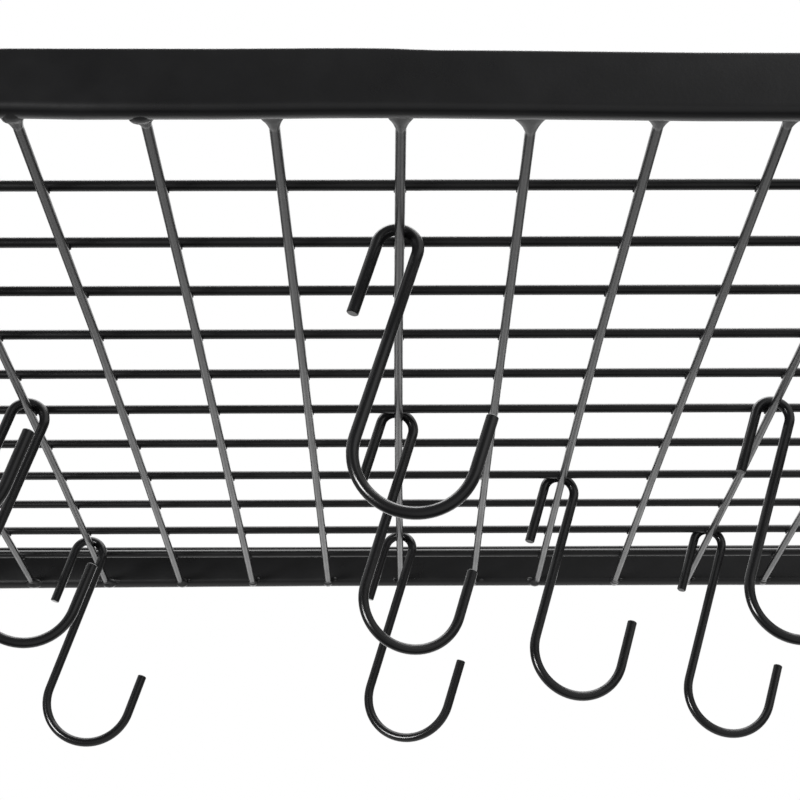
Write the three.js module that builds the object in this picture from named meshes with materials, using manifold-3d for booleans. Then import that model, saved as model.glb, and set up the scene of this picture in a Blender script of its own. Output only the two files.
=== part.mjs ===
// Hanging pot rack: a flat-bar frame filled with a wire mesh, ten S-hooks that swing on the
// mesh, and four chains that hold the frame under a ceiling.
// Millimetres, +Z up, +X to the right, +Y to the back. The origin is on the ceiling, over the
// middle of the rack.

import * as THREE from 'three';
import { mergeVertices } from 'three/addons/utils/BufferGeometryUtils.js';
import Module from 'manifold-3d';

const wasm = await Module();
wasm.setup();

// ---------------------------------------------------------------- driving dimensions

// frame of flat bar, standing on edge
const rackWidth = 610;
const rackDepth = 408;
const railHeight = 19;
const railThickness = 6.4;
const railEdgeRadius = 3; // rolled edges, so all but fully rounded
const cornerGap = 0.1; // between two rails at the mitre that they are welded at

// mesh of round wire
const meshWireDiameter = 2.9;
const meshPitch = 32.5;
const railDrop = 0.4; // how far the rails reach below the depth wires
const frontMargin = 40.1; // front rail's inner face to the first long wire
const leastMargin = 20; // least room between the other rails and the wires next to them
const meshGap = 0.3; // between a long wire and the depth wires that carry it
const wireEndGap = 0.1; // between a wire's cut end and the rail that it is welded to
const skewedWireSteps = 2; // one depth wire is welded askew, this many wires right of the middle one
const skewedWireDrift = 4; // how far its back end stands too far left

// S-hooks
const hookWireDiameter = 3.6;
const hookTopRadius = 6; // bends and legs are measured on the wire's centreline
const hookBowlRadius = 17.2;
const hookShank = 58.8;
const hookShortLeg = 23.7;
const hookEndLeg = 17.3;
const hookGap = 0.3; // between a hook and the wire that carries it

// where the hooks hang: depth wire counted from the middle one, long wire in front of the
// hook, share of the way from there to the next long wire, and turn about the vertical
const hookPlaces = [
  { wire: -4, behind: 2, share: 0.03, turn: 0 },
  { wire: 0, behind: 1, share: 0.94, turn: 0 },
  { wire: 4, behind: 1, share: 0.72, turn: 4 },
  { wire: -4, behind: 5, share: 0.93, turn: 9 },
  { wire: 0, behind: 6, share: 0, turn: 14 },
  { wire: 4, behind: 5, share: 0.91, turn: 2 },
  { wire: 2, behind: 8, share: 0, turn: 12 },
  { wire: -4, behind: 10, share: 0.48, turn: -2 },
  { wire: 0, behind: 10, share: 0.23, turn: -14 },
  { wire: 4, behind: 10, share: 0.02, turn: 6 },
];

// welded loops at the frame's corners
const loopWireDiameter = 4.5;
const loopBendRadius = 8;
const loopLeg = 7; // bend to the top of the rail
const loopSaddle = 0.6; // how far the legs reach down round the rail's rounded top
const loopFromCorner = 30; // rack's front or back face to the loop's middle

// chains
const linkWireDiameter = 3;
const linkInnerLength = 30;
const linkSideRoom = 1.6; // between a link's side and the wire that it hangs on
const linksPerChain = 9;
const linkSeat = 0.2; // how far the links of one chain press into each other
const chainGap = 0.3; // between a chain and what it hangs on, or what hangs on it

// ceiling hooks
const ceilingHookWireDiameter = 4.8;
const ceilingHookRadius = 10;
const ceilingHookSweep = 305; // degrees of ring, from the neck round to the open end
const ceilingHookNeck = 9; // flange's underside to the ring
const flangeDiameter = 18;
const flangeThickness = 2;
const screwDiameter = 4.6;
const screwLength = 30;
const screwTipLength = 6;

// number of flat faces round each kind of round wire
const wireSides = 10;
const hookSides = 8;
const linkSides = 6;

// ---------------------------------------------------------------- finishes

const powderCoat = new THREE.MeshStandardMaterial({ color: 0x1d1d1e, roughness: 0.42, metalness: 0 });
const hookCoat = new THREE.MeshStandardMaterial({ color: 0x161617, roughness: 0.28, metalness: 0 });
const plainSteel = new THREE.MeshStandardMaterial({ color: 0x202021, roughness: 0.4, metalness: 0.1 });

// ---------------------------------------------------------------- solids

function toSolid(geometry) {
  const bare = geometry.index ? geometry.toNonIndexed() : geometry.clone();
  bare.deleteAttribute('normal');
  bare.deleteAttribute('uv');
  const merged = mergeVertices(bare, 1e-4);
  const vertProperties = Float32Array.from(merged.attributes.position.array);
  const triVerts = Uint32Array.from(merged.index.array);
  return new wasm.Manifold(new wasm.Mesh({ numProp: 3, vertProperties, triVerts }));
}

function toGeometry(solid) {
  const mesh = solid.getMesh();
  const geometry = new THREE.BufferGeometry();
  geometry.setAttribute('position', new THREE.BufferAttribute(Float32Array.from(mesh.vertProperties), 3));
  geometry.setIndex(Array.from(mesh.triVerts));
  geometry.computeVertexNormals();
  return geometry;
}

function joined(geometries) {
  const solids = geometries.map(toSolid);
  return toGeometry(solids.reduce((whole, next) => whole.add(next)));
}

// A bent wire's centreline in the XZ plane, made of straight runs and arcs. Each run is one
// step long and each arc has its own steps, so that a straight leg needs no cuts.
class BentWire extends THREE.Curve {
  constructor(runs) {
    super();
    this.runs = runs;
    this.steps = runs.reduce((sum, run) => sum + run.steps, 0);
  }

  getUtoTmapping(u) {
    return u;
  }

  getPoint(t, target = new THREE.Vector3()) {
    let place = t * this.steps;
    let index = 0;
    while (index < this.runs.length - 1 && place > this.runs[index].steps) {
      place -= this.runs[index].steps;
      index += 1;
    }
    const run = this.runs[index];
    return run.at(place / run.steps, target);
  }

  points() {
    return Array.from({ length: this.steps + 1 }, (_, i) => this.getPoint(i / this.steps));
  }
}

function straight(fromX, fromZ, toX, toZ) {
  const from = new THREE.Vector3(fromX, 0, fromZ);
  const to = new THREE.Vector3(toX, 0, toZ);
  return { steps: 1, at: (share, target) => target.lerpVectors(from, to, share) };
}

function arc(centreX, centreZ, radius, startDegrees, sweepDegrees, steps) {
  const at = (share, target) => {
    const angle = THREE.MathUtils.degToRad(startDegrees + sweepDegrees * share);
    return target.set(centreX + radius * Math.cos(angle), 0, centreZ + radius * Math.sin(angle));
  };
  return { steps, at };
}

function bentWireGeometry(centreline, diameter, sides) {
  const section = new THREE.Shape();
  section.absarc(0, 0, diameter / 2, 0, Math.PI * 2);
  return new THREE.ExtrudeGeometry(section, {
    extrudePath: centreline,
    steps: centreline.steps,
    curveSegments: sides / 2,
    bevelEnabled: false,
  });
}

function centreOfWire(points) {
  const centre = new THREE.Vector3();
  let length = 0;
  for (let i = 1; i < points.length; i += 1) {
    const piece = points[i].distanceTo(points[i - 1]);
    centre.addScaledVector(points[i], piece / 2);
    centre.addScaledVector(points[i - 1], piece / 2);
    length += piece;
  }
  return centre.divideScalar(length);
}

// ---------------------------------------------------------------- heights and places

// Heights are worked out from the ceiling down.
const ceilingRingCentreZ = -(flangeThickness + ceilingHookNeck + ceilingHookRadius);
const ceilingRingSeatZ = ceilingRingCentreZ - ceilingHookRadius + ceilingHookWireDiameter / 2;
const linkPitch = linkInnerLength + linkSeat;
const topLinkZ = ceilingRingSeatZ + chainGap - linkInnerLength / 2;
const bottomLinkZ = topLinkZ - linkPitch * (linksPerChain - 1);
const bottomLinkSeatZ = bottomLinkZ - linkInnerLength / 2;
const loopTopZ = bottomLinkSeatZ + chainGap + loopWireDiameter / 2;
const loopBendZ = loopTopZ - loopBendRadius;
const railTopZ = loopBendZ - loopLeg;
const railBottomZ = railTopZ - railHeight;
const depthWireZ = railBottomZ + railDrop + meshWireDiameter / 2;
const longWireZ = depthWireZ + meshWireDiameter + meshGap;

const frontY = -rackDepth / 2;
const innerWidth = rackWidth - 2 * railThickness;
const innerDepth = rackDepth - 2 * railThickness;
const wireEndX = innerWidth / 2 - wireEndGap;
const wireEndY = innerDepth / 2 - wireEndGap;
const railX = (rackWidth - railThickness) / 2;
const railY = (rackDepth - railThickness) / 2;
const loopY = rackDepth / 2 - loopFromCorner;

const corners = [
  { name: 'front_left', x: -railX, y: -loopY },
  { name: 'front_right', x: railX, y: -loopY },
  { name: 'back_left', x: -railX, y: loopY },
  { name: 'back_right', x: railX, y: loopY },
];

const middleWire = Math.floor((innerWidth / 2 - leastMargin) / meshPitch) + 1;
const depthWireCount = 2 * middleWire - 1;
const longWireCount = Math.floor((innerDepth - frontMargin - leastMargin) / meshPitch) + 1;
const depthWireX = (number) => (number - middleWire) * meshPitch;
const driftOf = (number) => (number === middleWire + skewedWireSteps ? skewedWireDrift : 0);
const depthWireBackX = (number) => depthWireX(number) - driftOf(number);
const longWireY = (number) => frontY + railThickness + frontMargin + (number - 1) * meshPitch;
const twoDigits = (number) => String(number).padStart(2, '0');

const rack = new THREE.Group();

function addMesh(name, geometry, material, parent = rack) {
  const mesh = new THREE.Mesh(geometry, material.clone());
  mesh.name = name;
  parent.add(mesh);
  return mesh;
}

// ---------------------------------------------------------------- frame rails

// A flat bar along X with its four long edges rounded. Its ends are mitred: the side that
// faces the inside of the frame, which is +Y here, is the shorter one.
function railGeometry(length) {
  const x = railThickness / 2 - railEdgeRadius;
  const y = railHeight / 2 - railEdgeRadius;
  const section = new THREE.Shape();
  section.absarc(x, y, railEdgeRadius, 0, Math.PI / 2);
  section.absarc(-x, y, railEdgeRadius, Math.PI / 2, Math.PI);
  section.absarc(-x, -y, railEdgeRadius, Math.PI, Math.PI * 1.5);
  section.absarc(x, -y, railEdgeRadius, Math.PI * 1.5, Math.PI * 2);
  const bar = new THREE.ExtrudeGeometry(section, { depth: length, bevelEnabled: false, curveSegments: 4 });
  bar.translate(0, 0, -length / 2);
  bar.rotateX(Math.PI / 2);
  bar.rotateZ(Math.PI / 2);
  const position = bar.attributes.position;
  for (let i = 0; i < position.count; i += 1) {
    const shortening = position.getY(i) + railThickness / 2 + cornerGap / 2;
    position.setX(i, position.getX(i) - Math.sign(position.getX(i)) * shortening);
  }
  return bar;
}

const railZ = (railTopZ + railBottomZ) / 2;
const rails = [
  { name: 'front_rail', length: rackWidth, x: 0, y: -railY, quarterTurns: 0 },
  { name: 'right_rail', length: rackDepth, x: railX, y: 0, quarterTurns: 1 },
  { name: 'back_rail', length: rackWidth, x: 0, y: railY, quarterTurns: 2 },
  { name: 'left_rail', length: rackDepth, x: -railX, y: 0, quarterTurns: 3 },
];
for (const { name, length, x, y, quarterTurns } of rails) {
  const rail = addMesh(name, railGeometry(length), powderCoat);
  rail.position.set(x, y, railZ);
  rail.rotation.z = (quarterTurns * Math.PI) / 2;
}

// ---------------------------------------------------------------- wire mesh

// A straight wire between two points, its ends cut square to the mesh.
function meshWire(name, from, to) {
  const run = new THREE.Vector3().subVectors(to, from);
  const wire = addMesh(
    name,
    new THREE.CylinderGeometry(meshWireDiameter / 2, meshWireDiameter / 2, run.length(), wireSides),
    powderCoat,
  );
  wire.position.addVectors(from, to).divideScalar(2);
  wire.quaternion.setFromUnitVectors(new THREE.Vector3(0, 1, 0), run.normalize());
}

for (let number = 1; number <= depthWireCount; number += 1) {
  meshWire(
    `depth_wire_${twoDigits(number)}`,
    new THREE.Vector3(depthWireX(number), -wireEndY, depthWireZ),
    new THREE.Vector3(depthWireBackX(number), wireEndY, depthWireZ),
  );
}

for (let number = 1; number <= longWireCount; number += 1) {
  meshWire(
    `long_wire_${twoDigits(number)}`,
    new THREE.Vector3(-wireEndX, longWireY(number), longWireZ),
    new THREE.Vector3(wireEndX, longWireY(number), longWireZ),
  );
}

// ---------------------------------------------------------------- S-hooks

// Drawn upright with the middle of the top bend at the origin: short leg on the left, shank
// on the right, and a bowl that opens to the right of the shank.
const bowlX = hookTopRadius + hookBowlRadius;
const hookCentreline = new BentWire([
  straight(-hookTopRadius, -hookShortLeg, -hookTopRadius, 0),
  arc(0, 0, hookTopRadius, 180, -180, 10),
  straight(hookTopRadius, 0, hookTopRadius, -hookShank),
  arc(bowlX, -hookShank, hookBowlRadius, 180, 180, 14),
  straight(bowlX + hookBowlRadius, -hookShank, bowlX + hookBowlRadius, -hookShank + hookEndLeg),
]);

// A hook hangs with its centre of mass below the wire, which tilts it.
const hookCentre = centreOfWire(hookCentreline.points());
const hookTilt = Math.atan2(hookCentre.x, -hookCentre.z);
const hookDrop = hookTopRadius - hookWireDiameter / 2 - hookGap - meshWireDiameter / 2;

// The least distance along Y from a long wire to a hook's middle, with the hook turned.
function hookClearance(turn) {
  const halfBend = hookTopRadius + hookWireDiameter / 2;
  return (meshWireDiameter + hookWireDiameter) / 2 + hookGap + halfBend * Math.abs(Math.sin(turn));
}

hookPlaces.forEach(({ wire, behind, share, turn }, index) => {
  const turnAngle = THREE.MathUtils.degToRad(turn);
  const clearance = hookClearance(turnAngle);
  const longWire = Math.min(behind, longWireCount - 1);
  const nearestY = longWireY(longWire) + clearance;
  const farthestY = longWireY(longWire + 1) - clearance;
  const hookY = THREE.MathUtils.lerp(nearestY, farthestY, share);
  const number = middleWire + wire;
  const hookX = THREE.MathUtils.mapLinear(
    hookY,
    -innerDepth / 2,
    innerDepth / 2,
    depthWireX(number),
    depthWireBackX(number),
  );
  const hanger = new THREE.Group();
  hanger.position.set(hookX, hookY, depthWireZ - hookDrop);
  hanger.rotation.z = turnAngle;
  rack.add(hanger);
  const geometry = bentWireGeometry(hookCentreline, hookWireDiameter, hookSides);
  addMesh(`pot_hook_${twoDigits(index + 1)}`, geometry, hookCoat, hanger).rotation.y = hookTilt;
});

// ---------------------------------------------------------------- corner loops

const loopFootZ = -(loopLeg + loopSaddle);
const loopCentreline = new BentWire([
  straight(-loopBendRadius, loopFootZ, -loopBendRadius, 0),
  arc(0, 0, loopBendRadius, 180, -180, 10),
  straight(loopBendRadius, 0, loopBendRadius, loopFootZ),
]);

// The loop stands astride the rail's rounded top, which its two feet are cut to.
function loopGeometry() {
  const loop = toSolid(bentWireGeometry(loopCentreline, loopWireDiameter, hookSides));
  const rail = toSolid(railGeometry(rackDepth)).translate([0, 0, railZ - loopBendZ]);
  return toGeometry(loop.subtract(rail));
}

for (const { name, x, y } of corners) {
  const loop = addMesh(`corner_loop_${name}`, loopGeometry(), powderCoat);
  loop.position.set(x, y, loopBendZ);
  loop.rotation.z = Math.PI / 2;
}

// ---------------------------------------------------------------- chains

// One link is a ring pulled apart along Z, standing in the XZ plane. Ten steps round the
// ring put one at the top and one at the bottom of the link, and none at its sides.
const linkSteps = 10;
const wireInLink = Math.max(ceilingHookWireDiameter, loopWireDiameter);
const linkBendRadius = wireInLink / 2 + linkSideRoom + linkWireDiameter / 2;

function linkGeometry() {
  const link = new THREE.TorusGeometry(linkBendRadius, linkWireDiameter / 2, linkSides, linkSteps);
  link.rotateZ(Math.PI / linkSteps);
  link.rotateX(Math.PI / 2);
  const pull = (linkInnerLength + linkWireDiameter) / 2 - linkBendRadius;
  const position = link.attributes.position;
  for (let i = 0; i < position.count; i += 1) {
    position.setZ(i, position.getZ(i) + Math.sign(position.getZ(i)) * pull);
  }
  return link;
}

function chainGeometry() {
  const links = [];
  for (let i = 0; i < linksPerChain; i += 1) {
    const link = linkGeometry();
    if (i % 2 === 1) {
      link.rotateZ(Math.PI / 2);
    }
    link.translate(0, 0, -i * linkPitch);
    links.push(link);
  }
  return joined(links);
}

for (const { name, x, y } of corners) {
  addMesh(`chain_${name}`, chainGeometry(), plainSteel).position.set(x, y, topLinkZ);
}

// ---------------------------------------------------------------- ceiling hooks

// The screw and flange are turned about Z; the ring below them stands in the XZ plane.
function ceilingHookGeometry() {
  const neckRadius = ceilingHookWireDiameter / 2;
  const screwRadius = screwDiameter / 2;
  const neckEndZ = ceilingRingCentreZ + ceilingHookRadius - neckRadius / 2;
  const profile = [
    [0, neckEndZ],
    [neckRadius, neckEndZ],
    [neckRadius, -flangeThickness],
    [flangeDiameter / 2, -flangeThickness],
    [flangeDiameter / 2, 0],
    [screwRadius, 0],
    [screwRadius, screwLength - screwTipLength],
    [0, screwLength],
  ].map(([radius, height]) => new THREE.Vector2(radius, height));
  const stem = new THREE.LatheGeometry(profile, 16);
  stem.rotateX(Math.PI / 2);
  const ring = bentWireGeometry(
    new BentWire([arc(0, ceilingRingCentreZ, ceilingHookRadius, 90, ceilingHookSweep, 20)]),
    ceilingHookWireDiameter,
    hookSides,
  );
  return joined([stem, ring]);
}

for (const { name, x, y } of corners) {
  const hook = addMesh(`ceiling_hook_${name}`, ceilingHookGeometry(), plainSteel);
  hook.position.set(x, y, 0);
  hook.rotation.z = Math.PI / 2;
}

export default rack;
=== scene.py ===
# %% [markdown]
# # A hanging pot rack
#
# The rack is a frame of flat steel bar, filled with a mesh of round wire and hung on four
# chains. Ten S-hooks ride on its wires. All of it is steel under black powder coat, so there
# is almost no colour to paint: the look comes from clean round shapes, from the welds, and
# from what the gloss of the coat picks up from the studio. The solids are already packed, and
# this notebook dresses them: each piece of the frame gets a finer mesh in the same place.

import math
import random

import bmesh
import bpy
from mathutils import Matrix, Vector


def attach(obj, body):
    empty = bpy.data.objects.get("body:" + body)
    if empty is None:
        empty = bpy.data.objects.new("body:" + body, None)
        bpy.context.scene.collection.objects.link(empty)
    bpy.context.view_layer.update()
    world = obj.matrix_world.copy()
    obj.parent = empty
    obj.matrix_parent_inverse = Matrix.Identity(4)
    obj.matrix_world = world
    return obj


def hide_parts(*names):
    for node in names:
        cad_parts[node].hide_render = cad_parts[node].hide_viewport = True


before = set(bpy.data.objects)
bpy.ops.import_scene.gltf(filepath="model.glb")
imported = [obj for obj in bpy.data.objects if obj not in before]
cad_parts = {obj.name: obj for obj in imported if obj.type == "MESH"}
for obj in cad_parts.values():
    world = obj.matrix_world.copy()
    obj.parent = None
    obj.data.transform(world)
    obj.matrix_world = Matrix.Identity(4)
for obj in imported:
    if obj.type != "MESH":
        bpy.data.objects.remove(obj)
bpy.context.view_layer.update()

# %% [markdown]
# ## Units and places
#
# Blender counts in metres and a workshop in millimetres, so every size below is a number of
# `MM`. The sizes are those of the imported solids: a 19 x 6.4 mm bar, 2.9 mm mesh wire and
# 3.6 mm hook wire. Only the long wires are a little thicker, as they are in the photograph.
# Heights are measured down from the ceiling, which is at zero. Depth wires run from front to
# back and are counted from the left, and long wires run from left to right and are counted
# from the front.

# %% Sizes of the rack
MM = 0.001

rack_width = 610 * MM
rack_depth = 408 * MM
rail_height = 19 * MM
rail_thickness = 6.4 * MM
rail_top = -312.35 * MM
rail_bottom = rail_top - rail_height
inner_x = rack_width / 2 - rail_thickness
inner_y = rack_depth / 2 - rail_thickness

depth_wires = range(1, 18)
long_wires = range(1, 12)
middle_depth_wire = 9
mesh_pitch = 32.5 * MM
wire_radius = 1.45 * MM
long_wire_radius = 1.6 * MM
above_rail_foot = 0.4 * MM
room_for_weld = 0.3 * MM
depth_wire_height = rail_bottom + above_rail_foot + wire_radius
long_wire_height = depth_wire_height + 2 * wire_radius + room_for_weld
first_cell = 40.1 * MM
first_long_wire = -inner_y + first_cell


def depth_wire_x(number):
    """The even spacing of the depth wires."""
    return (number - middle_depth_wire) * mesh_pitch


def long_wire_y(number):
    """The even spacing of the long wires."""
    return first_long_wire + (number - 1) * mesh_pitch


print("the mesh lies", round(-depth_wire_height / MM, 1), "mm below the ceiling")

# %% [markdown]
# ## The camera
#
# The photograph looks up at the rack from below and in front of it, with the near rail across
# the top of the picture. The camera stands 0.4 m in front of that rail and 0.25 m below the
# mesh, looks up by 23 degrees, and uses a short telephoto lens. It is made first, so that
# every piece can be judged in the right frame from the start.

# %% Place the camera
camera_data = bpy.data.cameras.new("photo_camera")
camera_data.sensor_width = 36
camera_data.lens = 84.59
camera_data.clip_start = 0.02
camera_data.clip_end = 30
camera = bpy.data.objects.new("photo_camera", camera_data)
bpy.context.collection.objects.link(camera)

camera_place = Vector((-3.34, -610.03, -579.9)) * MM
pitch_up = math.radians(22.706)
turn_left = math.radians(-0.315)
roll = math.radians(-0.275)
camera.matrix_world = (
    Matrix.Translation(camera_place)
    @ Matrix.Rotation(turn_left, 4, "Z")
    @ Matrix.Rotation(math.pi / 2 + pitch_up, 4, "X")
    @ Matrix.Rotation(roll, 4, "Z")
)
bpy.context.scene.camera = camera
bpy.context.scene.view_settings.view_transform = "Standard"
print("the camera is", round(camera_place.length, 3), "m from the middle of the ceiling")

# %% [markdown]
# ## Node trees in one helper
#
# Materials and the studio's surroundings are both built from nodes. One small function adds a
# node, sets its own settings, and fills its sockets. A socket is given either a plain value
# or the output of another node, and in the second case the two are linked. A second function
# turns a hex colour, as a colour picker shows it, into the linear light that a shader needs.

# %% Node and colour helpers
def add_node(tree, kind, sockets=None, **settings):
    """Adds a node and fills its sockets with values or with other nodes' outputs."""
    node = tree.nodes.new(kind)
    for name, value in settings.items():
        setattr(node, name, value)
    for name, value in (sockets or {}).items():
        if isinstance(value, bpy.types.NodeSocket):
            tree.links.new(value, node.inputs[name])
        else:
            node.inputs[name].default_value = value
    return node


def linear(hex_colour, share=1.0):
    """'#rrggbb' in sRGB as linear red, green, blue and alpha, times a share."""
    channels = [int(hex_colour[i : i + 2], 16) / 255 for i in (1, 3, 5)]
    light = [c / 12.92 if c <= 0.04045 else ((c + 0.055) / 1.055) ** 2.4 for c in channels]
    return [c * share for c in light] + [1]


print("black coat in linear light:", [round(c, 4) for c in linear("#121213")])

# %% [markdown]
# ## The studio
#
# Glossy black shows its surroundings more than its own colour, so the surroundings come
# before the materials. In the photograph the undersides of the depth wires turn from dark
# grey, near the camera, to light grey at the back. They mirror a white backdrop that stands
# behind the rack: it starts a little below the horizon and is no wider than the rack. The
# rest of the room is dim, and dimmest straight below and behind the camera, which is why the
# near rail's face is almost black and a little lighter towards the right. The side walls and
# the ceiling are lighter again: they draw thin grey lines along the rims of wires and hooks.
#
# The world is painted by direction, as such a room would look from the rack: X is to the
# right, Y ahead, towards the backdrop, and Z up. It is described in soft steps, each of which
# goes from one level to another along one of these directions.

# %% Describe the room in soft steps
world = bpy.data.worlds.new("studio_room")
world.use_nodes = True
bpy.context.scene.world = world
room = world.node_tree
room.nodes.clear()

direction = add_node(room, "ShaderNodeTexCoord").outputs["Generated"]
axes = add_node(room, "ShaderNodeSeparateXYZ", {"Vector": direction})
right, ahead, up = (axes.outputs[axis] for axis in "XYZ")
sideways = add_node(room, "ShaderNodeMath", {0: right}, operation="ABSOLUTE").outputs[0]

# Each row is a step: the direction that it follows, where it starts and ends, and its two
# levels.
steps = {
    "in_front": (ahead, -0.25, 0.35, 0.0, 1.0),
    "not_beside": (sideways, 0.28, 0.5, 1.0, 0.0),
    "above_its_foot": (up, -0.49, -0.245, 0.2, 1.35),
    "walls": (ahead, -0.3, 0.3, 0.06, 0.27),
    "dark_floor": (up, -0.9, -0.5, 0.1, 1.0),
    "behind": (ahead, -0.2, -0.6, 0.0, 1.0),
    "right_side": (right, -0.25, 0.35, 0.0, 0.25),
    "far_behind": (ahead, -0.35, -0.7, 0.0, 1.0),
    "low": (up, 0.0, -0.25, 0.0, 0.13),
    "left_wall": (right, -0.35, -0.8, 0.0, 0.6),
    "right_wall": (right, 0.15, 0.5, 0.0, 0.6),
    "knee_high": (up, -0.1, 0.2, 0.0, 1.0),
    "not_ahead": (ahead, 0.3, -0.1, 0.0, 1.0),
    "raised": (up, 0.15, 0.45, 0.0, 1.0),
    "overhead": (up, 0.68, 0.95, 0.0, 1.3),
    "not_far_back": (ahead, -0.15, 0.1, 0.25, 1.0),
}
levels = {}
for step, (source, start, end, low, high) in steps.items():
    edges = {"Value": source, "From Min": start, "From Max": end, "To Min": low, "To Max": high}
    soft = add_node(room, "ShaderNodeMapRange", edges, interpolation_type="SMOOTHSTEP")
    levels[step] = soft.outputs["Result"]
print("the room is described in", len(steps), "steps")

# %% [markdown]
# Steps that are multiplied together make one part of the room, such as the backdrop, which is
# in front, not beside and above its foot. The parts are added up. Only glossy rays see this
# room. Diffuse rays see an even grey, and camera rays see plain white.

# %% Put the room together
parts_of_room = (
    ("in_front", "not_beside", "above_its_foot"),
    ("walls", "dark_floor"),
    ("behind", "right_side"),
    ("far_behind", "low"),
    ("left_wall", "raised"),
    ("right_wall", "knee_high", "not_ahead"),
    ("overhead", "not_far_back"),
)
brightness = None
for factors in parts_of_room:
    light = levels[factors[0]]
    for factor in factors[1:]:
        pair = {0: light, 1: levels[factor]}
        light = add_node(room, "ShaderNodeMath", pair, operation="MULTIPLY").outputs[0]
    if brightness:
        pair = {0: brightness, 1: light}
        light = add_node(room, "ShaderNodeMath", pair, operation="ADD").outputs[0]
    brightness = light

rays = add_node(room, "ShaderNodeLightPath").outputs
mirrored = add_node(room, "ShaderNodeEmission", {"Strength": brightness}).outputs[0]
even = add_node(room, "ShaderNodeEmission", {"Color": (0.5, 0.5, 0.5, 1)}).outputs[0]
white = add_node(room, "ShaderNodeEmission").outputs[0]
lit = {0: rays["Is Glossy Ray"], 1: even, 2: mirrored}
room_light = add_node(room, "ShaderNodeMixShader", lit).outputs[0]
seen = {0: rays["Is Camera Ray"], 1: room_light, 2: white}
surface = add_node(room, "ShaderNodeMixShader", seen).outputs[0]
add_node(room, "ShaderNodeOutputWorld", {"Surface": surface})
print("the room is painted with", len(room.nodes), "nodes")

# %% [markdown]
# Four lamps finish the studio. The key light is a small bright softbox behind the camera, to
# its left and at the height of the hooks: the near hook's bowl carries its sharp white streak.
# A dim box high on the right lights the hooks' inner rims. A flat panel over the middle of
# the rack draws the light line along the top edge of the far rail, and a weak one below it
# lifts the lower rims of the long wires. Lamps are hidden from the camera.

# %% Hang the lamps
def softbox(name, place, target, size, radiance):
    """A rectangular lamp at place that faces target. Radiance 1 mirrors as plain white."""
    data = bpy.data.lights.new(name, "AREA")
    data.shape = "RECTANGLE"
    data.size, data.size_y = size
    data.energy = radiance * math.pi * size[0] * size[1]
    lamp = bpy.data.objects.new(name, data)
    bpy.context.collection.objects.link(lamp)
    lamp.location = place
    lamp.rotation_euler = (Vector(target) - Vector(place)).to_track_quat("-Z", "Y").to_euler()
    lamp.visible_camera = False


# Place, target and size are in metres, and the last number is the radiance.
softbox("key_back_left", (-1.1, -1.25, -0.62), (0, -0.13, -0.45), (0.6, 0.45), 30)
softbox("high_box_right", (0.56, -0.66, 0.73), (0, -0.1, -0.42), (0.55, 0.45), 1.4)
softbox("panel_above", (0, 0.06, 0.33), (0, 0.06, -0.33), (1.1, 0.22), 3.8)
softbox("bounce_below", (0, 0.26, -0.63), (0, 0.26, -0.33), (1.1, 0.42), 0.45)
print("four lamps stand in the studio")

# %% [markdown]
# The rack hangs in the air, so the floor is far below it and out of the photograph. It is a
# plain pale disc, kept out of the gloss, because the photographed floor was in shadow. The
# camera sees it only from above, and there its rim fades into the white of the room.

# %% Lay the floor
floor_depth = 2.3
floor_radius = 2.2
fade_start, fade_end = 0.3, 2.1

bpy.ops.object.select_all(action="DESELECT")
bpy.ops.mesh.primitive_circle_add(
    vertices=96, radius=floor_radius, fill_type="NGON", location=(0, 0, -floor_depth)
)
floor = bpy.context.object
floor.name = "studio_floor"
floor.visible_glossy = False

paint = bpy.data.materials.new("matt_white_studio_floor")
paint.use_nodes = True
tree = paint.node_tree
matt = tree.nodes["Principled BSDF"]
matt.inputs["Base Color"].default_value = linear("#e9e9e8")
matt.inputs["Roughness"].default_value = 0.8
place = add_node(tree, "ShaderNodeTexCoord").outputs["Object"]
reach = add_node(tree, "ShaderNodeVectorMath", {0: place}, operation="LENGTH").outputs["Value"]
edges = {"Value": reach, "From Min": fade_start, "From Max": fade_end}
rim = add_node(tree, "ShaderNodeMapRange", edges, interpolation_type="SMOOTHSTEP").outputs[0]
camera_ray = add_node(tree, "ShaderNodeLightPath").outputs["Is Camera Ray"]
fade = add_node(tree, "ShaderNodeMath", {0: rim, 1: camera_ray}, operation="MULTIPLY").outputs[0]
white = add_node(tree, "ShaderNodeEmission").outputs[0]
surface = add_node(tree, "ShaderNodeMixShader", {0: fade, 1: matt.outputs[0], 2: white}).outputs[0]
tree.links.new(surface, tree.nodes["Material Output"].inputs["Surface"])
floor.data.materials.append(paint)
print("the floor is", floor_depth, "m below the ceiling")

# %% [markdown]
# ## Finishes
#
# **Powder coat** is a dry polyester powder, melted on the steel in an oven. It keeps the faint
# ripple that is called orange peel, about 1.2 mm from crest to crest, under a satin gloss. Its
# refractive index is that of most clear resins, 1.5. Rails, wires and corner loops share it.
#
# Over a **weld** the same coat lies on rougher steel, so its ripple is finer and deeper.
#
# The **hooks** are coated smoother, and their gloss is sharper. The **chains and ceiling
# hooks** carry a thinner dipped paint.
#
# All four are the same small graph: two noises in real millimetres make the relief, and a
# slow one moves the roughness and the colour a little, because no coat is quite even.

# %% Build the coats
patch_size = 14 * MM
fine_per_peel = 3.2
roughness_swing = 0.04
resin_ior = 1.5


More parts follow.
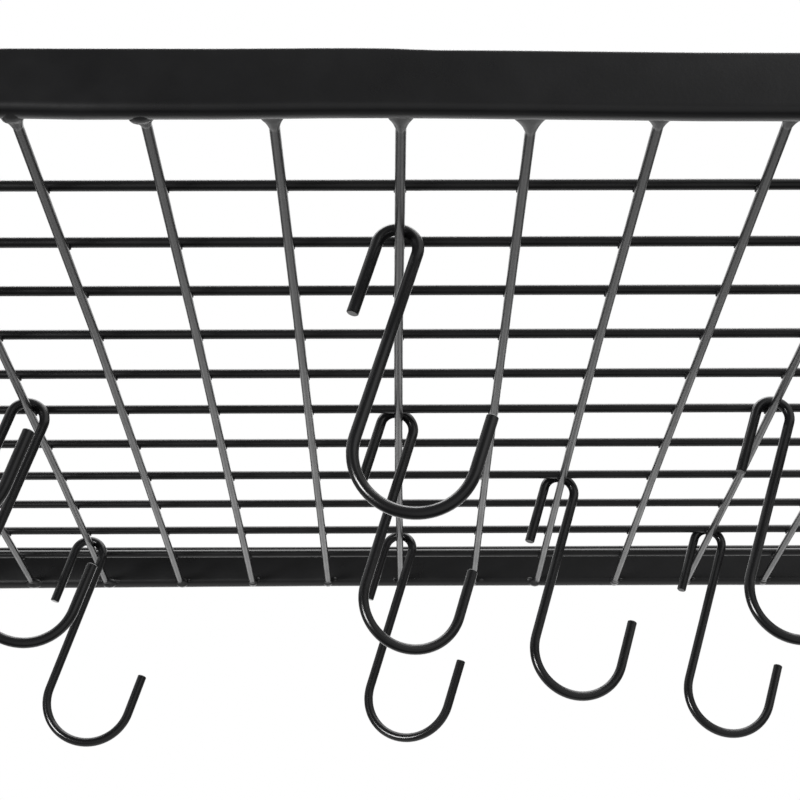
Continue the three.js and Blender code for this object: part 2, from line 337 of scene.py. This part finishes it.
def coat(name, colour, roughness, peel_size, peel_height, fine_share, mottling):
    """A black coat on steel. The relief's size and height are real lengths."""
    material = bpy.data.materials.new(name)
    material.use_nodes = True
    tree = material.node_tree
    shader = tree.nodes["Principled BSDF"]
    shader.inputs["IOR"].default_value = resin_ior

    # Three noises: the ripple, a finer one, and slow patches.
    place = add_node(tree, "ShaderNodeTexCoord").outputs["Object"]
    noises = []
    scales = (1 / peel_size, fine_per_peel / peel_size, 1 / patch_size)
    for scale, detail in zip(scales, (1.0, 2.0, 3.0)):
        sockets = {"Vector": place, "Scale": scale, "Detail": detail}
        noises.append(add_node(tree, "ShaderNodeTexNoise", sockets).outputs[0])
    peel, fine, slow = noises

    # A Mix node takes numbers at its sockets 2 and 3, and colours at 6 and 7.
    heights = {0: fine_share, 2: peel, 3: fine}
    relief = add_node(tree, "ShaderNodeMix", heights, data_type="FLOAT").outputs[0]
    bump = add_node(tree, "ShaderNodeBump", {"Distance": peel_height, "Height": relief})
    tree.links.new(bump.outputs["Normal"], shader.inputs["Normal"])
    # Noise seldom leaves the range from 0.3 to 0.7.
    gloss = {"Value": slow, "From Min": 0.3, "From Max": 0.7}
    gloss |= {"To Min": roughness - roughness_swing, "To Max": roughness + roughness_swing}
    sheen = add_node(tree, "ShaderNodeMapRange", gloss)
    tree.links.new(sheen.outputs["Result"], shader.inputs["Roughness"])
    shades = {0: slow, 6: linear(colour, 1 - mottling), 7: linear(colour, 1 + mottling)}
    tone = add_node(tree, "ShaderNodeMix", shades, data_type="RGBA")
    tree.links.new(tone.outputs[2], shader.inputs["Base Color"])
    print(name, "has roughness", roughness, "and relief of", round(peel_height / MM, 3), "mm")
    return material


satin_powder_coat = coat(
    "satin_black_powder_coat", "#121213", roughness=0.3,
    peel_size=1.2 * MM, peel_height=0.03 * MM, fine_share=0.25, mottling=0.15,
)
weld_powder_coat = coat(
    "powder_coat_over_weld", "#151516", roughness=0.42,
    peel_size=0.9 * MM, peel_height=0.08 * MM, fine_share=0.4, mottling=0.2,
)
gloss_hook_coat = coat(
    "gloss_black_hook_coat", "#131314", roughness=0.2,
    peel_size=1.6 * MM, peel_height=0.005 * MM, fine_share=0.2, mottling=0.1,
)
dipped_chain_paint = coat(
    "dipped_black_chain_paint", "#151516", roughness=0.3,
    peel_size=1.4 * MM, peel_height=0.012 * MM, fine_share=0.3, mottling=0.15,
)

# %% [markdown]
# ## Modelling by hand, in code
#
# Every piece is shaped as it would be with the mouse: add a primitive, go into edit mode,
# select faces or edges, and extrude, bevel or spin them. In code a selection is made by
# place: `pick` selects whatever passes a test of its middle point. Nearly every piece here is
# round, so it starts as a disc that is extruded, and `start_disc`, `extrude` and `close_mesh`
# are the first, the middle and the last move.

# %% Helpers for selecting and extruding
def only(piece):
    """Deselects everything and makes this piece selected and active."""
    bpy.ops.object.select_all(action="DESELECT")
    piece.select_set(True)
    bpy.context.view_layer.objects.active = piece
    return piece


def pick(kind, test):
    """In edit mode, selects the vertices or edges whose middle passes the test."""
    bpy.ops.mesh.select_mode(type=kind)
    bpy.ops.mesh.select_all(action="DESELECT")
    mesh = bmesh.from_edit_mesh(bpy.context.object.data)
    for part in mesh.verts if kind == "VERT" else mesh.edges:
        corners = [part] if kind == "VERT" else part.verts
        middle = sum((corner.co for corner in corners), Vector()) / len(corners)
        if test(middle):
            part.select_set(True)
    bmesh.update_edit_mesh(bpy.context.object.data)


def start_disc(name, sides, radius, place, turn=(0, 0, 0), fill="NGON"):
    """Adds a disc and leaves it selected in edit mode, ready to be extruded."""
    bpy.ops.object.select_all(action="DESELECT")
    bpy.ops.mesh.primitive_circle_add(
        vertices=sides, radius=radius, fill_type=fill, location=place, rotation=turn
    )
    disc = bpy.context.object
    disc.name = name
    bpy.ops.object.transform_apply(location=True, rotation=True, scale=True)
    bpy.ops.object.mode_set(mode="EDIT")
    bpy.ops.mesh.select_all(action="SELECT")
    return disc


def extrude(step):
    """Extrudes what is selected by a step in metres."""
    bpy.ops.mesh.extrude_region_move(TRANSFORM_OT_translate={"value": step})


def extrude_rows(rows, centre):
    """Extrudes a disc up or down through rows of height, in mm, and relative width."""
    for (height, width), (next_height, next_width) in zip(rows, rows[1:]):
        extrude((0, 0, (next_height - height) * MM))
        growth = next_width / width
        bpy.ops.transform.resize(value=(growth, growth, 1), center_override=centre)


def close_mesh(merge_within=0.0):
    """Merges doubles where asked, turns every face outwards and leaves edit mode."""
    bpy.ops.mesh.select_all(action="SELECT")
    if merge_within:
        bpy.ops.mesh.remove_doubles(threshold=merge_within)
    bpy.ops.mesh.normals_make_consistent(inside=False)
    bpy.ops.object.mode_set(mode="OBJECT")


print("helpers for selecting and extruding are ready")

# %% [markdown]
# Wires need one more helper. `pull_rod` pulls a disc along an axis from one station to the
# next. Each station has its own centre and half sizes, so a rod can swell into a weld. The
# other helpers join pieces, copy them, and finish them: a finished piece has its material,
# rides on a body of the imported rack, and stands in for one of its nodes.

# %% Helpers for whole pieces
def pull_rod(name, axis, stations, sides=20):
    """A closed rod along an axis. A station is a centre and three half sizes, in metres."""
    centre, half = stations[0]
    turn = {"X": (0, math.pi / 2, 0), "Y": (math.pi / 2, 0, 0), "Z": (0, 0, 0)}[axis]
    rod = start_disc(name, sides, 1, centre, turn)
    bpy.ops.transform.resize(value=half, center_override=centre)
    for next_centre, next_half in stations[1:]:
        extrude(Vector(next_centre) - Vector(centre))
        growth = [new / old for new, old in zip(next_half, half)]
        bpy.ops.transform.resize(value=growth, center_override=next_centre)
        centre, half = next_centre, next_half
    close_mesh()
    return rod


def join(name, pieces):
    """Joins pieces into one object."""
    only(pieces[0])
    for piece in pieces:
        piece.select_set(True)
    bpy.ops.object.join()
    pieces[0].name = name
    return pieces[0]


def copy_of(piece, name, placement):
    """A copy with its own mesh, moved by a matrix that is then applied to the mesh."""
    twin = piece.copy()
    twin.data = piece.data.copy()
    twin.name = name
    bpy.context.collection.objects.link(twin)
    twin.data.transform(placement)
    return twin


def finish_piece(piece, body, material, smooth_angle, nodes=()):
    """Gives a piece its material and smooth shading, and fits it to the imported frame."""
    only(piece)
    bpy.ops.object.shade_smooth_by_angle(angle=math.radians(smooth_angle))
    piece.data.materials.clear()
    piece.data.materials.append(material)
    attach(piece, body)
    if nodes:
        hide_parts(*nodes)
    return piece


print("helpers for whole pieces are ready")

# %% [markdown]
# ## Rails
#
# The frame is flat bar, mitred and welded at its corners. A box would do for the shape, but
# light runs along a bar's edges, so they need their true radius: the long edges of a box are
# bevelled, by 3 mm below, where the edges are nearly full round, and by 1.4 mm above, where
# the photograph shows them tighter and the bar a little lower. Cuts across the length, about
# 5 mm apart, let the bar be wavy later. The ends are cut at 45 degrees by a bisection. One
# bar is made for each length, and each is copied to two sides of the frame.

# %% Model the rails
foot_radius = 3 * MM
brow_radius = 1.4 * MM
brow_loss = 0.72 * MM
cut_spacing = 5 * MM
brow_height = rail_height / 2 - brow_loss


def bar(name, length):
    """A bar along X, in the middle of the world, with its inner side towards +Y."""
    bpy.ops.object.select_all(action="DESELECT")
    bpy.ops.mesh.primitive_cube_add(size=1)
    rail = bpy.context.object
    rail.name = name
    rail.scale = (length, rail_thickness, rail_height)
    bpy.ops.object.transform_apply(location=True, rotation=True, scale=True)
    bpy.ops.object.mode_set(mode="EDIT")
    pick("VERT", lambda m: m.z > 0)
    bpy.ops.transform.translate(value=(0, 0, -brow_loss))
    # The edges along the bar are those whose middle is at x = 0.
    pick("EDGE", lambda m: abs(m.x) < 1e-6 and m.z < 0)
    bpy.ops.mesh.bevel(offset=foot_radius, segments=8, affect="EDGES")
    pick("EDGE", lambda m: abs(m.x) < 1e-6 and m.z > brow_height - 0.01 * MM)
    bpy.ops.mesh.bevel(offset=brow_radius, segments=6, affect="EDGES")
    pick("EDGE", lambda m: abs(m.x) < 1e-6)
    bpy.ops.mesh.subdivide(number_cuts=int(length / cut_spacing))
    for side in (-1, 1):
        bpy.ops.mesh.select_all(action="SELECT")
        bpy.ops.mesh.bisect(
            plane_co=(side * length / 2, -rail_thickness / 2, 0),
            plane_no=(side, 1, 0),
            use_fill=True,
            clear_outer=True,
        )
    close_mesh()
    return rail


middle_z = rail_top - rail_height / 2
rail_middle = Matrix.Translation((0, 0, middle_z))
outward_y = Matrix.Translation((0, -(rack_depth - rail_thickness) / 2, 0))
outward_x = Matrix.Translation((0, -(rack_width - rail_thickness) / 2, 0))
long_bar = bar("long_bar", rack_width)
short_bar = bar("short_bar", rack_depth)
rails = {}
for name, blank, outward, quarter_turns in (
    ("front_rail", long_bar, outward_y, 0),
    ("right_rail", short_bar, outward_x, 1),
    ("back_rail", long_bar, outward_y, 2),
    ("left_rail", short_bar, outward_x, 3),
):
    turned = Matrix.Rotation(quarter_turns * math.pi / 2, 4, "Z")
    rails[name] = copy_of(blank, name + "_bar", rail_middle @ turned @ outward)
bpy.data.objects.remove(long_bar)
bpy.data.objects.remove(short_bar)
print("four rails, two of", rack_width, "m and two of", rack_depth, "m")

# %% [markdown]
# The photograph shows that the two long rails aren't quite straight, as bar is that was cold
# rolled and then welded along one side. Every cut across such a rail is raised or lowered a
# little, its top and its foot each by their own amount.

# %% Let the long rails wave
# Each row is a place along the rail, how far its top rises and how far its foot does, in mm.
front_wave = (
    (-290, 0, 0),
    (-150, 0.5, 0.1),
    (-99, 0.85, 0.3),
    (-82, 0.78, -0.08),
    (-46, 0.65, -0.12),
    (-18, 0.8, 0.2),
    (-4, 0.72, 0.2),
    (7, 0.15, 0.1),
    (25, 0.0, -0.15),
    (48, -0.35, -0.47),
    (76, -0.74, -0.89),
    (100, -0.86, -0.95),
    (180, -0.6, -0.7),
    (290, 0, 0),
)
back_wave = (
    (-290, 0, 0),
    (-180, 0, -0.25),
    (-110, -0.1, 0.1),
    (-32, -0.2, 0.4),
    (137, 0, 0.35),
    (290, 0, 0),
)
near_cut = 0.02 * MM
for name, wave in (("front_rail", front_wave), ("back_rail", back_wave)):
    rail = only(rails[name])
    bpy.ops.object.mode_set(mode="EDIT")
    cuts = sorted({round(v.co.x, 5) for v in bmesh.from_edit_mesh(rail.data).verts})
    for (start, top_1, foot_1), (end, top_2, foot_2) in zip(wave, wave[1:]):
        for cut in [cut for cut in cuts if start * MM < cut <= end * MM]:
            share = (cut / MM - start) / (end - start)
            for above, rise_1, rise_2 in ((True, top_1, top_2), (False, foot_1, foot_2)):
                pick("VERT", lambda m: abs(m.x - cut) < near_cut and (m.z > middle_z) == above)
                rise = (rise_1 + (rise_2 - rise_1) * share) * MM
                bpy.ops.transform.translate(value=(0, 0, rise))
    bpy.ops.object.mode_set(mode="OBJECT")

for name, rail in rails.items():
    finish_piece(rail, "rack", satin_powder_coat, 35, [name])
    print(name, "has", len(rail.data.polygons), "faces")

# %% [markdown]
# ## Mesh wires
#
# Each wire is butt-welded to the inner side of the rails by its two ends. Melted steel draws
# itself into a flat web there, wide at the rail and narrow at the wire. On this rack the webs
# differ, because they were welded by hand, so the welds that the photograph shows well are
# listed one by one, and the rest are drawn at random from the same range. Every web follows
# one profile, which is stretched to its own size.

# %% Describe the webs of the depth wires
random.seed(17)
# Half widths to the left and right at the rail, in mm, reach along the wire as a share of the
# usual reach, and how far the weld hangs below the wire, in mm.
near_webs = {
    6: (3.4, 2.4, 1.0, 0.7),
    7: (4.1, 2.4, 0.75, 1.0),
    8: (3.6, 2.8, 1.15, 0.0),
    9: (3.5, 3.5, 1.3, 0.0),
    10: (5.3, 4.1, 1.75, 0.0),
    11: (4.3, 3.8, 1.1, 0.0),
    12: (2.6, 3.8, 1.0, 0.0),
}
near_web_range = ((2.5, 4.6), (2.5, 4.6), (0.8, 1.4), (0.0, 0.1))
far_webs = {
    4: (2.9, 4.4, 0.8, 1.0),
    5: (2.2, 4.6, 0.7, 0.95),
    6: (2.2, 3.4, 0.6, 0.85),
    11: (3.6, 1.9, 0.7, 0.9),
}
far_web_range = ((1.9, 2.6), (1.9, 2.6), (0.5, 0.7), (0.2, 0.5))
# Distance before the rail, share of the width, sag of the small bead at the tip, and share of
# the hanging foot. The last rows are inside the rail.
web_profile = (
    (5.4, 0.0, 0.0, 0.0),
    (4.4, 0.0, 0.0, 0.0),
    (3.9, 0.0, 0.0, 0.0),
    (3.4, 0.07, 0.08, 0.0),
    (2.5, 0.2, 0.08, 0.0),
    (1.6, 0.4, 0.07, 0.0),
    (0.8, 0.64, 0.06, 0.0),
    (0.3, 0.84, 0.05, 0.0),
    (-0.4, 1.0, 0.0, 0.9),
    (-1.6, 1.05, 0.0, 1.0),
    (-3.0, 0.9, 0.0, 0.8),
    (-4.6, 0.5, 0.0, 0.0),
)


def web_stations(place_at, left, right, reach, foot):
    """Stations of one weld, from the wire towards the rail. place_at(d) is d before the rail."""
    stations = []
    for distance, share, tip_sag, foot_share in web_profile:
        wide_left = wire_radius + (left * MM - wire_radius) * share
        wide_right = wire_radius + (right * MM - wire_radius) * share
        sag = (tip_sag + foot * foot_share) * MM
        before = distance * MM * (reach if distance > 0 else 1)
        centre = place_at(before) + Vector(((wide_right - wide_left) / 2, 0, -sag / 2))
        stations.append((centre, ((wide_left + wide_right) / 2, 1, wire_radius + sag / 2)))
    return stations


print(len(near_webs), "webs are listed at the front and", len(far_webs), "at the back")

# %% [markdown]
# No wire is quite straight either, and one was welded askew, so that it meets the far rail
# 3 mm to the left of its place. A wire is pulled from its near weld, through two points on
# its way, to its far weld.

# %% Model the depth wires
skewed_wire = 11
skewed_wire_back_x = 61 * MM
# How far some wires stand off their straight line, in mm: at the front, a third of the way,
# two thirds of the way, and at the back.
wander = {
    4: (0, 0, -0.5, -1.4),
    5: (0.4, 0.6, 0.4, -0.7),
    6: (-0.85, 0.45, 0.3, 0.0),
    7: (-0.45, 0.0, -0.25, -0.4),
    8: (-0.35, 0.25, 0.6, 1.05),
    9: (-0.5, -0.75, -0.3, 0.9),
    10: (0.35, 0.42, 0.4, 1.05),
    11: (0.4, -0.1, 0.2, 1.05),
    12: (0.95, 0.4, -0.42, -0.5),
    13: (0.3, 0.3, 0.2, -0.75),
    14: (0, 0, 0.2, 1.2),
}
plain_wire = (wire_radius, 1, wire_radius)
depth_rods = []
paths = {}
for number in depth_wires:
    x = depth_wire_x(number)
    back_x = skewed_wire_back_x if number == skewed_wire else x
    shifts = [shift * MM for shift in wander.get(number, (0, 0, 0, 0))]
    paths[number] = [x + (back_x - x) * share / 3 + shifts[share] for share in range(4)]
    x, second_x, third_x, back_x = paths[number]
    chance = [random.uniform(*span) for span in near_web_range]
    near_web = near_webs.get(number, chance)
    near = web_stations(lambda d: Vector((x, -inner_y + d, depth_wire_height)), *near_web)
    chance = [random.uniform(*span) for span in far_web_range]
    far_web = far_webs.get(number, chance)
    far = web_stations(lambda d: Vector((back_x, inner_y - d, depth_wire_height)), *far_web)
    between = [
        (Vector((second_x, -inner_y / 3, depth_wire_height)), plain_wire),
        (Vector((third_x, inner_y / 3, depth_wire_height)), plain_wire),
    ]
    node = "depth_wire_%02d" % number
    rod = pull_rod(node + "_rod", "Y", near[::-1] + between + far)
    depth_rods.append(finish_piece(rod, "rack", satin_powder_coat, 50, [node]))
print(len(depth_rods), "depth wires of", len(depth_rods[0].data.polygons), "faces each")

# %% [markdown]
# The long wires lie on the depth wires and are welded to the side rails in the same way, but
# with smaller webs. All eleven are alike, so one is modelled and copied.

# %% Model the long wires
side_web_width = 1.4 * MM
side_web_sag = 0.1 * MM


def side_weld(side):
    """Stations of a long wire's weld on one side rail, from the wire to the rail."""
    stations = []
    for distance, share, _, _ in web_profile:
        half = long_wire_radius + side_web_width * share
        centre = (side * (inner_x - distance * MM), 0, long_wire_height - side_web_sag * share)
        stations.append((centre, (1, half, long_wire_radius + side_web_sag * share)))
    return stations


# How far each long wire stands behind its even spacing, in mm.
late = (0.7, 1.75, 1.3, 0.75, 0.2, -0.9, -0.4, 0.9, 1.15, 1.6, 0.6)
long_wire_places = {number: long_wire_y(number) + late[number - 1] * MM for number in long_wires}

long_blank = pull_rod("long_blank", "X", side_weld(-1)[::-1] + side_weld(1))
for number, y in long_wire_places.items():
    node = "long_wire_%02d" % number
    rod = copy_of(long_blank, node + "_rod", Matrix.Translation((0, y, 0)))
    finish_piece(rod, "rack", satin_powder_coat, 50, [node])
bpy.data.objects.remove(long_blank)
print(len(long_wires), "long wires")

# %% [markdown]
# Where two wires cross, a press and a burst of current melt them together, and a little steel
# squeezes out into the corners. This bead is small and repeats 187 times, so it gets only a
# few dozen faces: a disc pulled through four stations, which swells in the middle.

# %% Model the crossing welds
touch = (depth_wire_height + long_wire_height) / 2
# Height above the place where the wires touch, and half sizes along X and Y, in mm.
bead_rows = ((-0.9, 0.9, 0.9), (-0.45, 1.7, 1.4), (0.35, 1.6, 1.7), (0.9, 0.9, 0.9))
bead_stations = [
    ((0, 0, touch + rise * MM), (half_x * MM, half_y * MM, 1)) for rise, half_x, half_y in bead_rows
]
bead = pull_rod("crossing_bead", "Z", bead_stations, sides=10)
beads = []
for number in depth_wires:
    for y in long_wire_places.values():
        along = 3 * (y + inner_y) / (2 * inner_y)
        third = min(int(along), 2)
        x_1, x_2 = paths[number][third : third + 2]
        x = x_1 + (x_2 - x_1) * (along - third)
        grow = Matrix.Diagonal((random.uniform(0.9, 1.1), random.uniform(0.9, 1.1), 1, 1))
        beads.append(copy_of(bead, "bead", Matrix.Translation((x, y, 0)) @ grow))
bpy.data.objects.remove(bead)
crossing_welds = join("crossing_welds", beads)
finish_piece(crossing_welds, "rack", weld_powder_coat, 70)
print(len(beads), "beads with", len(crossing_welds.data.polygons), "faces in all")

# %% [markdown]
# The arc also threw a drop of steel beside each weld on the far rail. A drop is a low dome on
# the rail's inner side. Those that the photograph shows well are listed, like the webs.

# %% Model the drops beside the far welds
# Place from the wire, height above the rail's foot, and the two half sizes, all in mm.
far_drops = {
    4: (3.6, 1.5, 1.5, 0.5),
    5: (4.4, 1.9, 2.0, 0.65),
    6: (3.7, 2.2, 0.7, 0.7),
    7: (2.7, 2.6, 0.8, 1.0),
    8: (3.1, 2.6, 0.8, 0.9),
    9: (-2.8, 2.3, 0.8, 0.8),
    11: (-3.0, 2.2, 1.7, 1.0),
    12: (2.4, 2.0, 1.4, 0.6),
}
far_drop_range = ((2.4, 4.0), (1.8, 2.6), (0.6, 1.2), (0.5, 0.9))
# Depth in the rail, in mm, and share of the half sizes. Minus is in front of its face.
dome = ((0.4, 1.0), (-0.12, 0.93), (-0.38, 0.7), (-0.55, 0.35))
drops = []
for number in depth_wires:
    chance = [random.uniform(*span) for span in far_drop_range]
    beside, above, half_x, half_z = (value * MM for value in far_drops.get(number, chance))
    x, z = paths[number][3] + beside, rail_bottom + above
    rings = [
        ((x, inner_y + depth * MM, z), (half_x * share, 1, half_z * share))
        for depth, share in dome
    ]
    drops.append(pull_rod("drop", "Y", rings, 12))
far_spatter = join("far_spatter", drops)
finish_piece(far_spatter, "rack", weld_powder_coat, 80)
print(len(drops), "drops")

# %% [markdown]
# ## S-hooks
#
# A pot hook is bent from one piece of round wire: a small bend that rides on the mesh, a
# straight shank, and a large bowl for the pot's handle. That is exactly what the spin tool
# does with a disc. The ends are cut square, with a slight chamfer, so the first and the last
# extrusion shrink a little. The hook is modelled once, upright, with its small bend around
# the origin, and then copied to its ten places. Spin turns clockwise when its axis points at
# you, which decides the sign of each angle.

# %% Model one hook
hook_radius = 1.8 * MM
top_bend = 6 * MM
bowl_bend = 17.2 * MM
shank = 58.8 * MM
short_leg = 23.7 * MM
end_leg = 17.3 * MM
chamfer = 0.25 * MM
end_share = 0.84
bowl_middle = top_bend + bowl_bend

hook = start_disc("hook_blank", 24, hook_radius * end_share, (-top_bend, 0, -short_leg))
extrude((0, 0, chamfer))
widen = (1 / end_share, 1 / end_share, 1)
bpy.ops.transform.resize(value=widen, center_override=(-top_bend, 0, 0))
extrude((0, 0, short_leg - chamfer))
bpy.ops.mesh.spin(steps=20, angle=-math.pi, center=(0, 0, 0), axis=(0, 1, 0))
extrude((0, 0, -shank))
bpy.ops.mesh.spin(steps=36, angle=math.pi, center=(bowl_middle, 0, -shank), axis=(0, 1, 0))
extrude((0, 0, end_leg - chamfer))
extrude((0, 0, chamfer))
narrow = (end_share, end_share, 1)
bpy.ops.transform.resize(value=narrow, center_override=(bowl_middle + bowl_bend, 0, 0))
close_mesh(merge_within=0.001 * MM)
print("one hook has", len(hook.data.polygons), "faces")

# %% [markdown]
# A hook hangs with its bowl's weight under the wire, which tilts it by about 18 degrees. Cut
# and hung by hand, no two are quite alike: each row gives the place of its small bend in mm,
# how far it is turned about the vertical and its tilt, both in degrees, and by how many mm
# its last leg is longer than usual. The leg's end is picked by its place and moved along it.

# %% Hang the ten hooks
hook_places = (
    (-130.0, -120.7, -332.1, 0.0, 18.2, 0.0),
    (-1.3, -130.3, -332.05, 1.6, 17.27, -0.15),
    (130.0, -135.9, -332.1, 4.0, 18.2, 0.0),
    (-130.2, -1.5, -332.05, 9.2, 18.07, 0.0),
    (-1.1, 9.3, -331.8, 13.0, 16.75, 0.55),
    (130.45, -1.15, -332.0, 4.2, 17.82, 0.0),
    (61.95, 75.9, -331.8, 11.6, 16.77, 1.0),
    (-131.4, 150.7, -332.1, 0.3, 18.1, -0.8),
    (-0.05, 145.4, -332.1, -16.4, 17.86, 1.9),
    (129.5, 139.6, -331.85, 8.1, 17.37, 0.25),
)
for number, (x, y, z, turned, tilt, longer) in enumerate(hook_places, start=1):
    node = "pot_hook_%02d" % number
    turn = Matrix.Rotation(math.radians(turned), 4, "Z") @ Matrix.Rotation(math.radians(tilt), 4, "Y")
    copy = only(copy_of(hook, node + "_wire", Matrix.Identity(4)))
    bpy.ops.object.mode_set(mode="EDIT")
    pick("VERT", lambda m: m.x > bowl_middle and m.z > end_leg / 2 - shank)
    bpy.ops.transform.translate(value=(0, 0, longer * MM))
    bpy.ops.object.mode_set(mode="OBJECT")
    copy.data.transform(Matrix.Translation(Vector((x, y, z)) * MM) @ turn)
    finish_piece(copy, node, gloss_hook_coat, 40, [node])
    print(node, "hangs at", (x, y), "mm, tilted by", tilt, "degrees")
bpy.data.objects.remove(hook)

# %% [markdown]
# ## Corner loops
#
# Each corner has a loop of 4.5 mm rod, bent like a staple and welded on top of the side rail.
# The chain's last link passes through it. It is spun like the hook, and its feet flare into
# small weld collars that sink into the rail.

# %% Model the corner loops
hanger_x = 301.8 * MM
hanger_y = 174 * MM
loop_bend = 8 * MM
loop_height = -305.35 * MM
# Height above the rail and radius of each ring of a weld collar, from the foot up, in mm.
collar = ((-1.4, 3.3), (-0.2, 3.2), (0.9, 2.75), (1.8, 2.3), (2.4, 2.25))
collar_foot, collar_radius = collar[0]
collar_top, _ = collar[-1]
leg_above_collar = loop_height - rail_top - collar_top * MM

foot_place = (0, -loop_bend, rail_top + collar_foot * MM)
loop = start_disc("loop_blank", 24, collar_radius * MM, foot_place)
extrude_rows(collar, (0, -loop_bend, 0))
extrude((0, 0, leg_above_collar))
bpy.ops.mesh.spin(steps=20, angle=math.pi, center=(0, 0, loop_height), axis=(1, 0, 0))
extrude((0, 0, -leg_above_collar))
extrude_rows(collar[::-1], (0, loop_bend, 0))
close_mesh()

corners = {
    "front_left": (-hanger_x, -hanger_y),
    "front_right": (hanger_x, -hanger_y),
    "back_left": (-hanger_x, hanger_y),
    "back_right": (hanger_x, hanger_y),
}
for corner, (x, y) in corners.items():
    node = "corner_loop_" + corner
    copy = copy_of(loop, node + "_rod", Matrix.Translation((x, y, 0)))
    finish_piece(copy, "rack", satin_powder_coat, 50, [node])
bpy.data.objects.remove(loop)
print(len(corners), "corner loops")

# %% [markdown]
# ## Chains
#
# The chains are 3 mm straight-link chain. A link is a rod bent into an oval and butt-welded
# in the middle of one side, where it is a little thicker. The rod is pulled up one side with
# the weld in it, spun round the top, pulled down and spun round the bottom, where it meets
# itself. Each second link is turned a quarter, and nine of them are joined into a chain.

# %% Model a link
link_radius = 1.5 * MM
link_bend = 5.5 * MM
link_straight = 11 * MM
# Height in mm and relative thickness, along the welded side.
weld_swell = ((-11, 1.0), (-3.2, 1.0), (-1.6, 1.1), (0, 1.2), (1.6, 1.1), (3.2, 1.0), (11, 1.0))

link = start_disc("link_blank", 14, link_radius, (link_bend, 0, -link_straight), fill="NOTHING")
extrude_rows(weld_swell, (link_bend, 0, 0))
bpy.ops.mesh.spin(steps=12, angle=math.pi, center=(0, 0, link_straight), axis=(0, 1, 0))
extrude((0, 0, -2 * link_straight))
bpy.ops.mesh.spin(steps=12, angle=math.pi, center=(0, 0, -link_straight), axis=(0, 1, 0))
close_mesh(merge_within=0.01 * MM)
print("one link has", len(link.data.polygons), "faces")

# %% Hang the four chains
first_link = -43.3 * MM
link_pitch = 30.2 * MM
links_per_chain = 9
for corner, (x, y) in corners.items():
    node = "chain_" + corner
    links = []
    for index in range(links_per_chain):
        place = Matrix.Translation((x, y, first_link - index * link_pitch))
        quarter = Matrix.Rotation(math.pi / 2 * (index % 2), 4, "Z")
        links.append(copy_of(link, "link", place @ quarter))
    chain = join(node + "_links", links)
    finish_piece(chain, "rack", dipped_chain_paint, 50, [node])
bpy.data.objects.remove(link)
print(links_per_chain, "links in each chain")

# %% [markdown]
# ## Ceiling hooks
#
# Each chain hangs from a screw hook: a ring that is open beside its short neck, a flange that
# rests against the ceiling, and a wood screw above it. The ring and neck are one rod. The
# neck leans into the ring through a tight bend, as wire does on a bending machine, so the rod
# is spun twice, once each way. The flange is a disc with a rounded rim.

# %% Model the ring, neck and flange
ceiling_wire = 2.4 * MM
ring_radius = 10 * MM
ring_height = -21 * MM
neck_start = -1.5 * MM
blend_angle = math.radians(15)
neck_bend = ring_radius * math.sin(blend_angle) / (1 - math.sin(blend_angle))
neck_end = ring_height + ring_radius * math.cos(blend_angle) + neck_bend * math.cos(blend_angle)
neck_sweep = math.pi / 2 - blend_angle
ring_sweep = math.radians(305) - blend_angle

ring = start_disc("ceiling_hook_blank", 20, ceiling_wire, (0, 0, neck_start))
extrude((0, 0, neck_end - neck_start))
bpy.ops.mesh.spin(steps=8, angle=neck_sweep, center=(0, -neck_bend, neck_end), axis=(1, 0, 0))
bpy.ops.mesh.spin(steps=32, angle=ring_sweep, center=(0, 0, ring_height), axis=(-1, 0, 0))
close_mesh()


def turned_stations(rows):
    """Stations of a turned shape on the Z axis, from rows of height and radius in mm."""
    return [((0, 0, height * MM), (radius * MM, radius * MM, 1)) for height, radius in rows]


flange_rows = ((-2.0, 7.6), (-1.7, 8.5), (-1.2, 8.9), (-0.6, 9.0), (0, 9.0))
flange = pull_rod("flange", "Z", turned_stations(flange_rows), 40)
print("the neck ends", round(-neck_end / MM, 2), "mm below the ceiling")

# %% [markdown]
# The wood screw is a core that tapers to a point, and a thread: a small triangle that the
# Screw modifier sweeps up a helix. Its two open ends are filled.

# %% Model the wood screw
core_radius = 1.7
core_rows = ((-0.5, 2.3), (4, 2.3), (5, core_radius), (24, core_radius), (29.8, 0.2), (30, 0.05))
core = pull_rod("screw_core", "Z", turned_stations(core_rows), 20)

thread_pitch = 1.9 * MM
thread_turns = 10
thread_foot = 5.2 * MM
thread_size = 0.42 * MM
out_of_core = 0.2 * MM
thread_middle = core_radius * MM + out_of_core
bpy.ops.object.select_all(action="DESELECT")
bpy.ops.mesh.primitive_circle_add(vertices=3, radius=thread_size)
thread = bpy.context.object
thread.name = "thread"
thread.location = (thread_middle, 0, thread_foot)
thread.rotation_euler = (math.pi / 2, math.pi / 2, 0)
bpy.ops.object.transform_apply(location=True, rotation=True, scale=True)
climb = thread.modifiers.new("climb", "SCREW")
climb.axis = "Z"
climb.steps = 16
climb.render_steps = 16
climb.iterations = thread_turns
climb.screw_offset = thread_pitch
only(thread)
bpy.ops.object.modifier_apply(modifier="climb")
bpy.ops.object.mode_set(mode="EDIT")
bpy.ops.mesh.select_mode(type="EDGE")
bpy.ops.mesh.select_all(action="DESELECT")
bpy.ops.mesh.select_non_manifold()
bpy.ops.mesh.fill_holes(sides=3)
close_mesh()

ceiling_hook = join("ceiling_hook_blank", [ring, flange, core, thread])
for corner, (x, y) in corners.items():
    node = "ceiling_hook_" + corner
    copy = copy_of(ceiling_hook, node + "_set", Matrix.Translation((x, y, 0)))
    finish_piece(copy, "rack", dipped_chain_paint, 35, [node])
bpy.data.objects.remove(ceiling_hook)
print(len(corners), "ceiling hooks, with", thread_turns, "turns of thread each")
